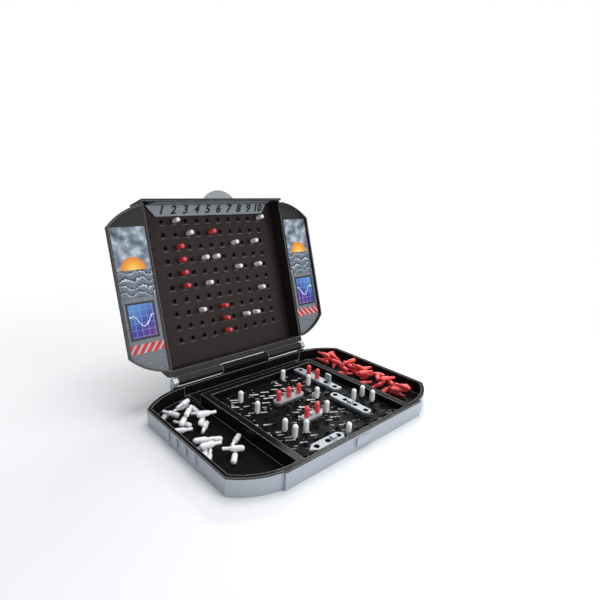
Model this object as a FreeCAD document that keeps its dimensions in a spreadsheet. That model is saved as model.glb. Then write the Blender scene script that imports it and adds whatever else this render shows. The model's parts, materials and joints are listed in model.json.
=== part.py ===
"""A folding two-board case for a fleet guessing game, open with its pieces set out.

The case lies on the table with +Z up and the player on the -Y side. The origin is the middle of
the base's underside. Lengths are millimetres and angles are degrees.
"""
import FreeCAD, Part
import math
import os
import random
import Sketcher

Vector = FreeCAD.Vector
Rotation = FreeCAD.Rotation
Placement = FreeCAD.Placement

# Driving dimensions
DIMENSIONS = [
    ("half_width", 122.5, "middle of the case to its straight sides"),
    ("half_depth", 83, "middle of the base to its front and back walls"),
    ("block_half", 86, "half the width of the straight middle block"),
    ("arc_radius", 62, "wing corner arc"),
    ("arc_aside", 46.5, "wing corner arc centre, in from the straight sides"),
    ("wing_drop", 1.5, "front and back walls to the crest of the wing arcs"),
    ("shell_wall", 2, "silver shell wall"),
    ("shell_floor", 1.8, "silver shell floor"),
    ("shell_height", 14.4, "table to the top of the silver shell"),
    ("fit_gap", 0.3, "gap between pieces that fit in one another"),
    ("running_gap", 0.5, "gap between pieces that move past one another"),
    ("rim_thick", 1.6, "black rim that caps the silver shell"),
    ("rim_width", 3.4, "black rim, outside edge to the wells"),
    ("well_floor", 3.2, "table to the bottom of the peg wells"),
    ("well_web", 6.85, "ocean grid to the inner side of the wells"),
    ("bay_web", 7.85, "ocean grid to the ship bay behind it"),
    ("bay_end", 10, "end of the ship bay to the end of the middle block"),
    ("bay_floor", 6, "table to the bottom of the ship bay"),
    ("deck_top", 10, "table to the top of the ocean grid"),
    ("deck_thick", 2.2, "ocean grid plate"),
    ("deck_margin", 7, "outer holes to the edge of the ocean grid"),
    ("deck_front", 3.85, "front wall to the ocean grid"),
    ("deck_back", 33.85, "ocean grid to the back wall"),
    ("deck_ledge", 2.6, "ledge that carries the ocean grid"),
    ("grid_count", 10, "rows and columns of each grid"),
    ("hole_radius", 1.7, "peg hole"),
    ("pad_half", 9, "half the width of the raised pad on the front wall"),
    ("pad_reach", 1.5, "front pad, out from the wall"),
    ("trim_low", 5, "table to the underside of the front pad and the side ribs"),
    ("trim_high", 12.4, "table to the top of the front pad and the side ribs"),
    ("rib_count", 4, "ribs on each side wall"),
    ("rib_half", 1.5, "half the length of a side rib"),
    ("rib_reach", 1.2, "side rib, out from the wall"),
    ("rib_pitch", 14, "distance between side ribs"),
    ("hinge_back", 1, "back wall to the hinge line"),
    ("hinge_rise", 5.2, "rim to the hinge line"),
    ("barrel_radius", 4.2, "hinge barrel"),
    ("pin_radius", 1.6, "hinge pin"),
    ("knuckle_half", 30, "half the length of the middle knuckle"),
    ("ear_thick", 5, "silver hinge ear, across"),
    ("ear_back", 4.2, "hinge line to the back of the ear"),
    ("open_angle", 73, "lid from flat to its open stop"),
    ("lid_shift", 8, "lid wings further out than the base wings"),
    ("lid_foot", 5, "hinge line to the lid block"),
    ("foot_front", 7, "wing plates back to the sloping foot of the lid block"),
    ("foot_rise", 7, "sloping foot, up the back of the lid block"),
    ("lid_over", 11.5, "lid block longer than the base"),
    ("lid_wall", 2.2, "lid block walls and wing plates"),
    ("lid_back", 1.6, "back wall of the lid block"),
    ("lip_height", 4, "lip round the lid wings, forward of the wing plates"),
    ("lip_width", 1.4, "lip round the lid wings"),
    ("top_lip_height", 3, "lip along the top of the lid block, forward of the wing plates"),
    ("recess_depth", 16, "wing plates back to the target board"),
    ("recess_foot", 11, "hinge line to the foot of the recess"),
    ("recess_wall", 2.2, "top of the recess to the top of the lid block"),
    ("board_thick", 2, "target board"),
    ("board_ledge", 2.4, "ledge that carries the target board"),
    ("shank_room", 5.6, "room behind the target board for the peg shanks"),
    ("target_first", 36.8, "hinge line to the lowest row of the target board"),
    ("target_last", 5.1, "top row of the target board to the number plate"),
    ("plate_rise", 11.9, "number plate, foot to the top of the recess"),
    ("plate_thick", 1.8, "number plate"),
    ("plate_end", 8, "side of the recess to the top corner of the number plate"),
    ("plate_chamfer", 9, "number plate ends, narrower at the foot"),
    ("tab_half", 18, "half the width of the finger tab"),
    ("tab_reach", 8.5, "finger tab, beyond the top of the lid block"),
    ("tab_lift", 0.4, "wing plates forward to the finger tab"),
    ("tab_thick", 2.4, "finger tab"),
    ("sticker_thick", 0.3, "printed label"),
    ("sticker_inset", 0.8, "middle block to the labels"),
    ("sticker_edge", 1.9, "labels to the outline of the lid"),
    ("sticker_head", 0.6, "lip of the lid to the top of the labels"),
    ("peg_head_radius", 2.4, "peg head"),
    ("peg_head_length", 10.4, "peg head with its dome"),
    ("peg_neck_radius", 1.8, "peg neck, too wide for a grid hole"),
    ("peg_neck_length", 1.5, "peg neck, under the head"),
    ("peg_shank_radius", 1.35, "peg shank"),
    ("peg_shank_length", 7.2, "peg shank with its neck"),
    ("hull_height", 4.4, "ship, ocean grid to the top of its plate"),
    ("hull_step", 2, "ship, ocean grid to the underside of its top plate"),
    ("hull_ledge", 0.7, "ship's top plate out over its hull"),
    ("ship_hole_radius", 1.95, "peg hole in a ship"),
    ("beam_half", 4.7, "half the width of a ship's top plate"),
    ("hull_floor", 1, "floor of a ship's blind hole"),
    ("end_round", 5.6, "outer hole to a round end of a ship"),
    ("end_bluntness", 1.02, "radius of a round end over half the ship's width there"),
    ("end_point", 8, "outer hole to a pointed end of a ship"),
    ("end_shoulder", 1.5, "outer hole to where a pointed end starts"),
    ("end_cut", 3.2, "cut corner at an angular end of a ship"),
    ("turret_half", 2.6, "half the length of a turret"),
    ("turret_beam", 2.2, "half the width of a turret"),
    ("turret_height", 2.2, "turret above the hull"),
    ("tower_half", 3.4, "half the length of an island tower"),
    ("tower_side", 3.3, "middle of a ship to its island tower"),
    ("tower_beam", 1.1, "half the width of an island tower"),
    ("tower_height", 8, "island tower above the hull"),
    ("ship_pin_radius", 1.4, "pin under a ship"),
    ("ship_pin_length", 5, "pin under a ship"),
    ("spare_gap", 0.15, "gap kept between spare pegs"),
    ("white_pile_side", 10, "inner side of the well to the white spare pegs"),
    ("white_pile_y", 14, "middle of the white spare pegs, front to back"),
    ("white_pile_half", 48, "half the length of the white spare pegs' pile"),
    ("red_pile_side", 20, "inner side of the well to the red spare pegs"),
    ("red_pile_y", 4, "middle of the red spare pegs, front to back"),
    ("red_pile_half", 56, "half the length of the red spare pegs' pile"),
    ("pile_top", 19, "table to the highest a pile of spare pegs may reach"),
]

# Where the pieces stand: column from the left and row from the back of the ocean grid
OCEAN_MISSES = [(7, 1), (2, 2), (8, 3), (2, 4), (7, 5), (2, 7), (6, 7), (9, 7), (10, 7), (2, 8), (3, 8),
                (10, 8), (5, 10)]
# Column from the left and row from the top of the target board
TARGET_MISSES = [(2, 1), (10, 1), (3, 2), (7, 3), (9, 3), (4, 4), (5, 4), (7, 5), (9, 5), (4, 6), (9, 7),
                 (3, 8), (7, 9), (8, 9)]
TARGET_HITS = [(5, 2), (2, 3), (2, 4), (2, 5), (2, 6), (5, 8), (5, 9), (5, 10)]
# How many spare pegs lie in each well, and the seed of the dice that strew them
WHITE_SPARES = 22
WHITE_SEED = 3
RED_SPARES = 34
RED_SEED = 8


class Size:
    """A number together with the sheet expression that gives it."""

    def __init__(self, number, text):
        self.number = number
        self.text = text

    def __add__(self, other):
        other = as_size(other)
        return Size(self.number + other.number, f"({self.text} + {other.text})")

    def __sub__(self, other):
        other = as_size(other)
        return Size(self.number - other.number, f"({self.text} - {other.text})")

    def __mul__(self, other):
        other = as_size(other)
        return Size(self.number * other.number, f"({self.text} * {other.text})")

    def __truediv__(self, other):
        other = as_size(other)
        return Size(self.number / other.number, f"({self.text} / {other.text})")

    def __neg__(self):
        return Size(-self.number, f"(0 - {self.text})")


def as_size(value):
    """A plain number becomes a Size, and a Size stays as it is."""
    return value if isinstance(value, Size) else Size(value, f"{value}")


doc = FreeCAD.newDocument("fleet_guessing_case")
sheet = doc.addObject("Spreadsheet::Sheet", "Sizes")
size = {}
for line, (alias, number, note) in enumerate(DIMENSIONS, start=1):
    sheet.set(f"A{line}", note)
    sheet.set(f"B{line}", f"{number}")
    sheet.setAlias(f"B{line}", alias)
doc.recompute()
for alias, number, note in DIMENSIONS:
    size[alias] = Size(float(sheet.get(alias)), f"Sizes.{alias}")

# Sizes that follow from the driving dimensions
rim_top = size["shell_height"] + size["rim_thick"]
hinge_z = rim_top + size["hinge_rise"]
arc_x = size["half_width"] - size["arc_aside"]
arc_y = size["half_depth"] - size["wing_drop"] - size["arc_radius"]
hinge_y = size["half_depth"] + size["hinge_back"]
deck_half = size["half_depth"] - (size["deck_front"] + size["deck_back"]) / 2
grid_y = (size["deck_front"] - size["deck_back"]) / 2
ocean_pitch = (deck_half - size["deck_margin"]) * 2 / (size["grid_count"] - 1)
well_inner = deck_half + size["well_web"]
bay_front = grid_y + deck_half + size["bay_web"]
bay_half = size["block_half"] - size["bay_end"]
deck_low = size["deck_top"] - size["deck_thick"]
inner_inset = size["shell_wall"] + size["fit_gap"]
bore_radius = size["pin_radius"] + size["fit_gap"]
ear_outer = size["block_half"]
ear_inner = ear_outer - size["ear_thick"]
lid_middle = hinge_y + size["lid_shift"]
lid_length = size["half_depth"] * 2 + size["lid_over"]
recess_top = lid_length - size["recess_wall"]
plate_low = recess_top - size["plate_rise"]
target_pitch = (plate_low - size["target_last"] - size["target_first"]) / (size["grid_count"] - 1)
recess_half = size["block_half"] - size["lid_wall"]
board_low = size["recess_depth"] + size["board_thick"]
cavity_low = board_low + size["shank_room"]
block_low = cavity_low + size["lid_back"]


def bind(item, prop, value):
    """Tie one property of a document object to the sheet."""
    item.setExpression(prop, as_size(value).text)


def new_body(name):
    """An empty body whose label names its file."""
    body = doc.addObject("PartDesign::Body", name)
    body.Label = name
    return body


def new_sketch(body, name, role="XY_Plane", lift=0):
    """A sketch on one of the body's own origin planes, lifted along the plane's normal."""
    plane = next(item for item in body.Origin.OriginFeatures if item.Role == role)
    sketch = body.newObject("Sketcher::SketchObject", name)
    sketch.AttachmentSupport = (plane, [""])
    sketch.MapMode = "FlatFace"
    bind(sketch, "AttachmentOffset.Base.z", lift)
    return sketch


def hold(sketch, kind, references, value):
    """Add one dimension to a sketch and tie it to the sheet."""
    value = as_size(value)
    index = sketch.addConstraint(Sketcher.Constraint(kind, *references, value.number))
    sketch.setExpression(f"Constraints[{index}]", value.text)


def arc_through(start, end, radius):
    """The arc that turns left from start to end with its centre on the left."""
    chord = end - start
    middle = (start + end) * 0.5
    left = Vector(-chord.y, chord.x, 0).normalize()
    centre = middle + left * math.sqrt(radius ** 2 - (chord.Length / 2) ** 2)
    first = math.atan2(start.y - centre.y, start.x - centre.x)
    last = math.atan2(end.y - centre.y, end.x - centre.x)
    if last < first:
        last += 2 * math.pi
    return Part.ArcOfCircle(Part.Circle(centre, Vector(0, 0, 1), radius), first, last)


def draw(sketch, corners, arcs=None):
    """A closed outline through corners, anticlockwise, with an arc from each corner named in arcs."""
    arcs = arcs or {}
    corners = [(as_size(x), as_size(y)) for x, y in corners]
    spots = [Vector(x.number, y.number, 0) for x, y in corners]
    first = sketch.GeometryCount
    count = len(corners)
    for place in range(count):
        start = spots[place]
        end = spots[(place + 1) % count]
        if place in arcs:
            sketch.addGeometry(arc_through(start, end, as_size(arcs[place]).number))
        else:
            sketch.addGeometry(Part.LineSegment(start, end))
    for place in range(count):
        following = first + (place + 1) % count
        sketch.addConstraint(Sketcher.Constraint("Coincident", first + place, 2, following, 1))
    for place, (x, y) in enumerate(corners):
        hold(sketch, "DistanceX", (-1, 1, first + place, 1), x)
        hold(sketch, "DistanceY", (-1, 1, first + place, 1), y)
    for place, radius in arcs.items():
        hold(sketch, "Radius", (first + place,), radius)


def draw_rectangle(sketch, low_x, low_y, high_x, high_y):
    """A rectangle between two corners."""
    draw(sketch, [(low_x, low_y), (high_x, low_y), (high_x, high_y), (low_x, high_y)])


def draw_circle(sketch, x, y, radius):
    """A circle about a point."""
    x = as_size(x)
    y = as_size(y)
    centre = Vector(x.number, y.number, 0)
    circle = Part.Circle(centre, Vector(0, 0, 1), as_size(radius).number)
    index = sketch.addGeometry(circle)
    hold(sketch, "DistanceX", (-1, 1, index, 3), x)
    hold(sketch, "DistanceY", (-1, 1, index, 3), y)
    hold(sketch, "Radius", (index,), radius)


def pad(body, sketch, length, down=False):
    """Raise a sketch by a length along its normal, or against it."""
    feature = body.newObject("PartDesign::Pad", f"{sketch.Name}_pad")
    feature.Profile = sketch
    feature.Reversed = down
    bind(feature, "Length", length)
    doc.recompute()
    return feature


def pocket(body, sketch, depth, up=False):
    """Cut a sketch away by a depth against its normal, or along it."""
    before = body.Shape.Volume
    feature = body.newObject("PartDesign::Pocket", f"{sketch.Name}_pocket")
    feature.Profile = sketch
    feature.Reversed = up
    bind(feature, "Length", depth)
    doc.recompute()
    if body.Shape.Volume >= before:
        raise RuntimeError(f"{sketch.Name} cuts nothing")
    return feature


def repeat(body, feature, sketch, axis, step, count):
    """Repeat a feature along one axis of its sketch."""
    before = body.Shape.Volume
    pattern = body.newObject("PartDesign::LinearPattern", f"{feature.Name}_row")
    pattern.Originals = [feature]
    pattern.Direction = (sketch, [axis])
    bind(pattern, "Length", step * (count - 1))
    bind(pattern, "Occurrences", count)
    body.Tip = pattern
    doc.recompute()
    if abs(body.Shape.Volume - before) < 1e-6:
        raise RuntimeError(f"{feature.Name} doesn't repeat")


def arc_rise(across, inset):
    """How far the wing arc, drawn in by inset, stands from the wing's middle at a distance across."""
    radius = size["arc_radius"] - inset
    aside = across - arc_x
    number = math.sqrt(radius.number ** 2 - aside.number ** 2)
    return Size(number, f"sqrt({radius.text}^2 - {aside.text}^2)") + arc_y


def case_outline(sketch, inset, middle, front, back):
    """The whole outline: straight sides, wing arcs, and the middle block from front to back."""
    reach = size["half_width"] - inset
    radius = size["arc_radius"] - inset
    step = size["block_half"] - inset
    side_rise = arc_rise(reach, inset)
    end_rise = arc_rise(step, inset)
    corners = [
        (reach, middle - side_rise), (reach, middle + side_rise), (step, middle + end_rise),
        (step, back), (-step, back), (-step, middle + end_rise),
        (-reach, middle + side_rise), (-reach, middle - side_rise), (-step, middle - end_rise),
        (-step, front), (step, front), (step, middle - end_rise),
    ]
    draw(sketch, corners, {1: radius, 5: radius, 7: radius, 11: radius})


def wing_outline(sketch, inner, inset, middle, hand):
    """One wing from a straight inner side at inner to the drawn-in outline; hand is 1 right, -1 left."""
    reach = size["half_width"] - inset
    radius = size["arc_radius"] - inset
    side_rise = arc_rise(reach, inset)
    near_rise = arc_rise(inner, inset)
    corners = [(inner, middle - near_rise), (reach, middle - side_rise), (reach, middle + side_rise),
               (inner, middle + near_rise)]
    if hand > 0:
        draw(sketch, corners, {0: radius, 2: radius})
    else:
        mirrored = [(-x, y) for x, y in reversed(corners)]
        draw(sketch, mirrored, {0: radius, 2: radius})


def on_lid(item):
    """Turn a piece drawn flat, hinge line at its origin, up to the lid's open stop."""
    item.Placement = Placement(Vector(0, hinge_y.number, hinge_z.number),
                               Rotation(Vector(1, 0, 0), size["open_angle"].number))
    bind(item, "Placement.Base.y", hinge_y)
    bind(item, "Placement.Base.z", hinge_z)
    bind(item, "Placement.Rotation.Angle", size["open_angle"])


# Base: silver shell with its hinge ears, side ribs and front pad
def make_base_shell():
    body = new_body("base_shell")
    outer = new_sketch(body, "shell_outline")
    case_outline(outer, as_size(0), as_size(0), -size["half_depth"], size["half_depth"])
    pad(body, outer, size["shell_height"])
    inner = new_sketch(body, "shell_inside", lift=size["shell_height"])
    inside = size["half_depth"] - size["shell_wall"]
    case_outline(inner, size["shell_wall"], as_size(0), -inside, inside)
    pocket(body, inner, size["shell_height"] - size["shell_floor"])
    front_pad = new_sketch(body, "front_pad", lift=size["trim_low"])
    draw_rectangle(front_pad, -size["pad_half"], -size["half_depth"] - size["pad_reach"],
                   size["pad_half"], -size["half_depth"] + size["shell_wall"] / 2)
    pad(body, front_pad, size["trim_high"] - size["trim_low"])
    for hand, side in ((1, "right"), (-1, "left")):
        ear_foot = new_sketch(body, f"{side}_ear_foot", lift=size["shell_floor"])
        near = ear_inner if hand > 0 else -ear_outer
        far = ear_outer if hand > 0 else -ear_inner
        wall_middle = size["half_depth"] - size["shell_wall"] / 2
        ear_end = hinge_y + size["ear_back"]
        draw_rectangle(ear_foot, near, wall_middle, far, ear_end)
        pad(body, ear_foot, size["shell_height"] - size["shell_floor"])
        ear = new_sketch(body, f"{side}_ear", "YZ_Plane", near)
        draw(ear, [(size["half_depth"] + size["fit_gap"], size["shell_floor"]), (ear_end, size["shell_floor"]),
                   (ear_end, hinge_z), (size["half_depth"] + size["fit_gap"], hinge_z)])
        pad(body, ear, size["ear_thick"])
        round_end = new_sketch(body, f"{side}_ear_round", "YZ_Plane", near)
        draw_circle(round_end, hinge_y, hinge_z, size["barrel_radius"])
        pad(body, round_end, size["ear_thick"])
        bore = new_sketch(body, f"{side}_ear_bore", "YZ_Plane", near)
        draw_circle(bore, hinge_y, hinge_z, bore_radius)
        pocket(body, bore, size["ear_thick"], up=True)
        rib = new_sketch(body, f"{side}_rib", lift=size["trim_low"])
        start = -size["rib_pitch"] * (size["rib_count"] - 1) / 2
        wall = size["half_width"] if hand > 0 else -size["half_width"]
        bite = size["shell_wall"] / 2
        low = wall - bite if hand > 0 else wall - size["rib_reach"]
        high = wall + size["rib_reach"] if hand > 0 else wall + bite
        draw_rectangle(rib, low, start - size["rib_half"], high, start + size["rib_half"])
        rib_pad = pad(body, rib, size["trim_high"] - size["trim_low"])
        repeat(body, rib_pad, rib, "V_Axis", size["rib_pitch"], size["rib_count"])
    return body


# Base: black tray with the rim, the two peg wells, the ship bay and the middle knuckle
def make_base_tray():
    body = new_body("base_tray")
    rim = new_sketch(body, "tray_rim", lift=size["shell_height"])
    case_outline(rim, as_size(0), as_size(0), -size["half_depth"], size["half_depth"])
    pad(body, rim, size["rim_thick"])
    block = new_sketch(body, "tray_block", lift=size["shell_height"])
    inside = size["half_depth"] - inner_inset
    case_outline(block, inner_inset, as_size(0), -inside, inside)
    pad(body, block, size["shell_height"] - size["shell_floor"], down=True)
    for hand, side in ((1, "right"), (-1, "left")):
        well = new_sketch(body, f"{side}_well", lift=rim_top)
        wing_outline(well, well_inner, size["rim_width"], as_size(0), hand)
        pocket(body, well, rim_top - size["well_floor"])
    seat = new_sketch(body, "deck_seat", lift=rim_top)
    half = deck_half + size["fit_gap"]
    draw_rectangle(seat, -half, grid_y - half, half, grid_y + half)
    pocket(body, seat, rim_top - deck_low)
    room = new_sketch(body, "shank_room_below", lift=deck_low)
    narrow = deck_half - size["deck_ledge"]
    draw_rectangle(room, -narrow, grid_y - narrow, narrow, grid_y + narrow)
    pocket(body, room, deck_low - size["shell_floor"])
    bay = new_sketch(body, "ship_bay", lift=rim_top)
    draw_rectangle(bay, -bay_half, bay_front, bay_half,
                   size["half_depth"] - size["rim_width"])
    pocket(body, bay, rim_top - size["bay_floor"])
    post = new_sketch(body, "knuckle_post", "YZ_Plane", -size["knuckle_half"])
    post_front = hinge_y - size["barrel_radius"]
    draw(post, [(post_front, rim_top - size["rim_thick"] / 2), (size["half_depth"], rim_top - size["rim_thick"] / 2),
                (size["half_depth"], hinge_z), (post_front, hinge_z)])
    pad(body, post, size["knuckle_half"] * 2)
    barrel = new_sketch(body, "middle_knuckle", "YZ_Plane", -size["knuckle_half"])
    draw_circle(barrel, hinge_y, hinge_z, size["barrel_radius"])
    pad(body, barrel, size["knuckle_half"] * 2)
    bore = new_sketch(body, "middle_bore", "YZ_Plane", -size["knuckle_half"])
    draw_circle(bore, hinge_y, hinge_z, bore_radius)
    pocket(body, bore, size["knuckle_half"] * 2, up=True)
    return body


def hole_field(body, name, lift, first_y, pitch, thick):
    """One row of peg holes, repeated to make the whole grid."""
    row = new_sketch(body, name, lift=lift)
    for column in range(int(size["grid_count"].number)):
        offset = (size["grid_count"] - 1) / 2
        draw_circle(row, pitch * (as_size(column) - offset), first_y, size["hole_radius"])
    holes = pocket(body, row, thick)
    repeat(body, holes, row, "V_Axis", pitch, size["grid_count"])


# Base: ocean grid plate
def make_ocean_grid():
    body = new_body("ocean_grid")
    plate = new_sketch(body, "ocean_plate", lift=size["deck_top"])
    draw_rectangle(plate, -deck_half, grid_y - deck_half, deck_half, grid_y + deck_half)
    pad(body, plate, size["deck_thick"], down=True)
    first = grid_y - ocean_pitch * (size["grid_count"] - 1) / 2
    hole_field(body, "ocean_holes", size["deck_top"], first, ocean_pitch, size["deck_thick"])
    return body


# Hinge pin through the ears and the knuckles
def make_hinge_pin():
    pin = doc.addObject("Part::Cylinder", "hinge_pin")
    pin.Label = "hinge_pin"
    pin.Placement = Placement(Vector(0, 0, 0), Rotation(Vector(0, 1, 0), 90))
    bind(pin, "Radius", size["pin_radius"])
    bind(pin, "Height", ear_outer * 2)
    bind(pin, "Placement.Base.x", -ear_outer)
    bind(pin, "Placement.Base.y", hinge_y)
    bind(pin, "Placement.Base.z", hinge_z)
    return pin


# Lid: black moulding with the wings, the lip, the recess and its two knuckles
def make_lid_shell():
    body = new_body("lid_shell")
    wings = new_sketch(body, "lid_wings")
    case_outline(wings, as_size(0), lid_middle, size["lid_foot"], lid_length)
    pad(body, wings, size["lid_wall"], down=True)
    block = new_sketch(body, "lid_block")
    draw_rectangle(block, -size["block_half"], size["lid_foot"], size["block_half"], lid_length)
    pad(body, block, block_low, down=True)
    for hand, side in ((1, "right"), (-1, "left")):
        lip = new_sketch(body, f"{side}_lip")
        wing_outline(lip, size["block_half"], as_size(0), lid_middle, hand)
        pad(body, lip, size["lip_height"])
        hollow = new_sketch(body, f"{side}_lip_hollow", lift=size["lip_height"])
        wing_outline(hollow, size["block_half"] - size["fit_gap"], size["lip_width"], lid_middle, hand)
        pocket(body, hollow, size["lip_height"])
    top_lip = new_sketch(body, "top_lip")
    draw_rectangle(top_lip, -size["block_half"], recess_top, size["block_half"], lid_length)
    pad(body, top_lip, size["top_lip_height"])
    recess = new_sketch(body, "lid_recess")
    draw_rectangle(recess, -recess_half, size["recess_foot"], recess_half, recess_top)
    pocket(body, recess, board_low)
    cavity = new_sketch(body, "shank_cavity", lift=-board_low)
    narrow = recess_half - size["board_ledge"]
    draw_rectangle(cavity, -narrow, size["recess_foot"] + size["board_ledge"], narrow,
                   recess_top - size["board_ledge"])
    pocket(body, cavity, size["shank_room"])
    past = size["block_half"] + size["fit_gap"]
    slope = new_sketch(body, "foot_slope", "YZ_Plane", -past)
    before = size["lid_foot"] - size["fit_gap"]
    behind = -block_low - size["fit_gap"]
    draw(slope, [(before, behind), (size["lid_foot"] + size["foot_rise"], behind), (before, -size["foot_front"])])
    pocket(body, slope, past * 2, up=True)
    knuckle_start = size["knuckle_half"] + size["running_gap"]
    knuckle_end = ear_inner - size["running_gap"]
    length = knuckle_end - knuckle_start
    for start, side in ((knuckle_start, "right"), (-knuckle_end, "left")):
        web = new_sketch(body, f"{side}_knuckle_web", "YZ_Plane", start)
        draw_rectangle(web, as_size(0), -size["barrel_radius"], size["lid_foot"] + size["lid_wall"] / 2,
                       as_size(0))
        pad(body, web, length)
        barrel = new_sketch(body, f"{side}_knuckle", "YZ_Plane", start)
        draw_circle(barrel, 0, 0, size["barrel_radius"])
        pad(body, barrel, length)
        bore = new_sketch(body, f"{side}_bore", "YZ_Plane", start)
        draw_circle(bore, 0, 0, bore_radius)
        pocket(body, bore, length, up=True)
    on_lid(body)
    return body


# Lid: target board in the recess
def make_target_board():
    body = new_body("target_board")
    gap = size["fit_gap"]
    plate = new_sketch(body, "target_plate", lift=-size["recess_depth"])
    half = recess_half - gap
    draw_rectangle(plate, -half, size["recess_foot"] + gap, half, recess_top - gap)
    pad(body, plate, size["board_thick"], down=True)
    hole_field(body, "target_holes", -size["recess_depth"], size["target_first"], target_pitch,
               size["board_thick"])
    on_lid(body)
    return body


# Lid: number plate on the board, along the top of the recess
def make_number_plate():
    body = new_body("number_plate")
    plate = new_sketch(body, "plate_outline", lift=size["plate_thick"] - size["recess_depth"])
    wide = recess_half - size["plate_end"]
    narrow = wide - size["plate_chamfer"]
    top = recess_top - size["fit_gap"]
    draw(plate, [(-narrow, plate_low), (narrow, plate_low), (wide, top), (-wide, top)])
    pad(body, plate, size["plate_thick"], down=True)
    on_lid(body)
    return body


# Lid: a printed label on each wing plate
def make_sticker(hand, name):
    body = new_body(name)
    label = new_sketch(body, f"{name}_outline", lift=size["sticker_thick"])
    inner = size["block_half"] + size["sticker_inset"]
    outer = size["half_width"] - size["sticker_edge"]
    radius = size["arc_radius"] - size["sticker_edge"]
    high = lid_middle + arc_rise(outer, size["lip_width"]) - size["sticker_head"]
    corners = [(inner, lid_middle - arc_rise(inner, size["sticker_edge"])),
               (outer, lid_middle - arc_rise(outer, size["sticker_edge"])), (outer, high), (inner, high)]
    if hand > 0:
        draw(label, corners, {0: radius})
    else:
        draw(label, [(-x, y) for x, y in reversed(corners)], {2: radius})
    pad(body, label, size["sticker_thick"], down=True)
    on_lid(body)
    return body


# Lid: finger tab on the top edge
def make_finger_tab():
    body = new_body("finger_tab")
    blade = new_sketch(body, "tab_blade", lift=size["tab_lift"])
    half = size["tab_half"]
    rise = size["tab_reach"]
    radius = (half * half + rise * rise) / (rise * 2)
    draw(blade, [(-half, lid_length), (half, lid_length)], {1: radius})
    pad(body, blade, size["tab_thick"])
    on_lid(body)
    return body


def ship_end(kind, length, half):
    """Corners of the end beyond the last hole, from -half to +half, and which of them starts an arc."""
    if kind == "round":
        start = length + size["end_round"] - half
        return [(start, -half), (start, half)], True
    if kind == "pointed":
        shoulder = length + size["end_shoulder"]
        return [(shoulder, -half), (length + size["end_point"], as_size(0)), (shoulder, half)], False
    end = length + size["end_round"]
    return [(end - size["end_cut"], -half), (end, -half + size["end_cut"]), (end, half)], False


def hull_outline(sketch, length, bow, stern, half):
    """A hull seen from above, first hole at the origin and last hole at length."""
    front, front_arc = ship_end(bow, length, half)
    behind, behind_arc = ship_end(stern, as_size(0), half)
    corners = front + [(-x, -y) for x, y in behind]
    arcs = {}
    if front_arc:
        arcs[0] = half * size["end_bluntness"]
    if behind_arc:
        arcs[len(front)] = half * size["end_bluntness"]
    draw(sketch, corners, arcs)


def cell(column, row):
    """Middle of an ocean grid hole, counted from the left and from the back."""
    offset = (size["grid_count"] + 1) / 2
    x = ocean_pitch * (as_size(column) - offset)
    y = grid_y + ocean_pitch * (offset - row)
    return x, y


def make_ship(name, holes, first, heading, bow, stern, pegged, turrets=(), towers=()):
    """A ship with its first hole on the cell first; pegged holes go right through, others are blind."""
    body = new_body(name)
    pitch = ocean_pitch
    length = pitch * (holes - 1)
    lower = new_sketch(body, f"{name}_lower")
    hull_outline(lower, length, bow, stern, size["beam_half"] - size["hull_ledge"])
    pad(body, lower, size["hull_step"])
    upper = new_sketch(body, f"{name}_upper", lift=size["hull_step"])
    hull_outline(upper, length, bow, stern, size["beam_half"])
    pad(body, upper, size["hull_height"] - size["hull_step"])
    blind = [place for place in range(holes) if place not in pegged]
    for kind, places, depth in (("through", pegged, size["hull_height"]),
                                ("blind", blind, size["hull_height"] - size["hull_floor"])):
        if places:
            field = new_sketch(body, f"{name}_{kind}", lift=size["hull_height"])
            for place in places:
                draw_circle(field, pitch * place, 0, size["ship_hole_radius"])
            pocket(body, field, depth)
    for place in {min(blind), max(blind)} if blind else ():
        pin = new_sketch(body, f"{name}_pin_{place}")
        draw_circle(pin, pitch * place, 0, size["ship_pin_radius"])
        pad(body, pin, size["ship_pin_length"], down=True)
    blocks = [(place, as_size(0), size["turret_half"], size["turret_beam"], size["turret_height"])
              for place in turrets]
    blocks += [(place, size["tower_side"], size["tower_half"], size["tower_beam"], size["tower_height"])
               for place in towers]
    for number, (place, side, half, beam, height) in enumerate(blocks):
        block = new_sketch(body, f"{name}_block_{number}", lift=size["hull_height"])
        draw_rectangle(block, pitch * place - half, side - beam, pitch * place + half, side + beam)
        pad(body, block, height)
    x, y = cell(*first)
    body.Placement = Placement(Vector(x.number, y.number, size["deck_top"].number),
                               Rotation(Vector(0, 0, 1), heading))
    bind(body, "Placement.Base.x", x)
    bind(body, "Placement.Base.y", y)
    bind(body, "Placement.Base.z", size["deck_top"])
    return body


def peg_shape():
    """One peg, head up, with the underside of its head at the origin."""
    head = size["peg_head_radius"].number
    length = size["peg_head_length"].number
    neck = size["peg_neck_radius"].number
    stop = size["peg_neck_length"].number
    shank = size["peg_shank_radius"].number
    depth = size["peg_shank_length"].number
    shoulder = length - head
    diagonal = head * math.sqrt(0.5)
    spots = [Vector(0, 0, -depth), Vector(shank, 0, -depth), Vector(shank, 0, -stop), Vector(neck, 0, -stop),
             Vector(neck, 0, 0), Vector(head, 0, 0), Vector(head, 0, shoulder)]
    edges = [Part.makeLine(start, end) for start, end in zip(spots, spots[1:])]
    crown = Vector(0, 0, length)
    edges.append(Part.Arc(spots[-1], Vector(diagonal, 0, shoulder + diagonal), crown).toShape())
    edges.append(Part.makeLine(crown, spots[0]))
    return Part.Face(Part.Wire(edges)).revolve(Vector(0, 0, 0), Vector(0, 0, 1), 360)


def peg_group(name, places):
    """Separate pegs in one piece of the list, each at its own placement."""
    peg = peg_shape()
    copies = []
    for place in places:
        copy = peg.copy()
        copy.Placement = place
        copies.append(copy)
    group = doc.addObject("Part::Feature", name)
    group.Label = name
    group.Shape = Part.makeCompound(copies)
    return group


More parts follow.
